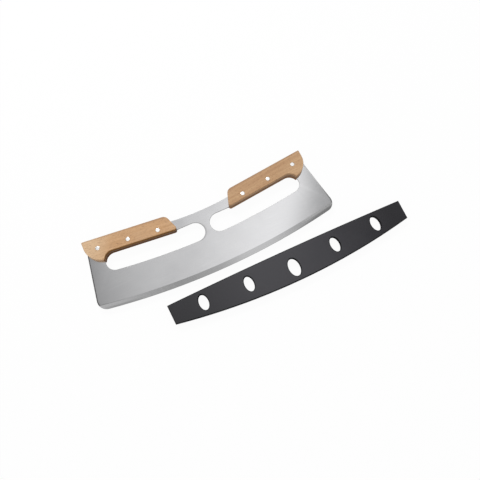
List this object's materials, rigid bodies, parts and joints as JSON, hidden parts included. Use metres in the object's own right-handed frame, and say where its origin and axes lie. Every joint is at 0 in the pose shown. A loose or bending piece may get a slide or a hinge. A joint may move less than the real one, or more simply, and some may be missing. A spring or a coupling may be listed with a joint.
{
  "type": "rocking pizza knife",
  "caption": "Rocking pizza knife: a curved steel blade with finger slots, riveted wooden handles at both ends, and a loose plastic edge guard with oval windows, taken off.",
  "frame": {"origin": "lowest point of the curved cutting edge, in the middle of the blade's thickness", "axes": "+X along the blade towards the right-hand handle, +Y from the cutting edge to the handles, +Z out of the blade's front face"},
  "size_m": [0.4332, 0.1709, 0.015],
  "materials": {
    "blade_steel": "satin stainless steel plate, ground bright along the edge",
    "handle_wood": "oiled tan hardwood, sanded smooth, with eased edges",
    "rivet_metal": "polished flush with the wood",
    "guard_plastic": "fine matte moulded black plastic"
  },
  "bodies": {
    "knife": {"blade": "blade_steel", "left_front_scale": "handle_wood", "left_back_scale": "handle_wood", "right_front_scale": "handle_wood", "right_back_scale": "handle_wood", "left_inner_rivet_tube": "rivet_metal", "left_inner_rivet_pin": "rivet_metal", "left_middle_rivet_tube": "rivet_metal", "left_middle_rivet_pin": "rivet_metal", "left_outer_rivet_tube": "rivet_metal", "left_outer_rivet_pin": "rivet_metal", "right_inner_rivet_tube": "rivet_metal", "right_inner_rivet_pin": "rivet_metal", "right_middle_rivet_tube": "rivet_metal", "right_middle_rivet_pin": "rivet_metal", "right_outer_rivet_tube": "rivet_metal", "right_outer_rivet_pin": "rivet_metal"},
    "guard": {"blade_guard": "guard_plastic"}
  },
  "joints": [
    {"name": "guard_slide", "type": "slide", "parent": "knife", "child": "guard", "axis": [-0.8336, 0.5524, 0], "range_m": [0, 0.0992]}
  ]
}
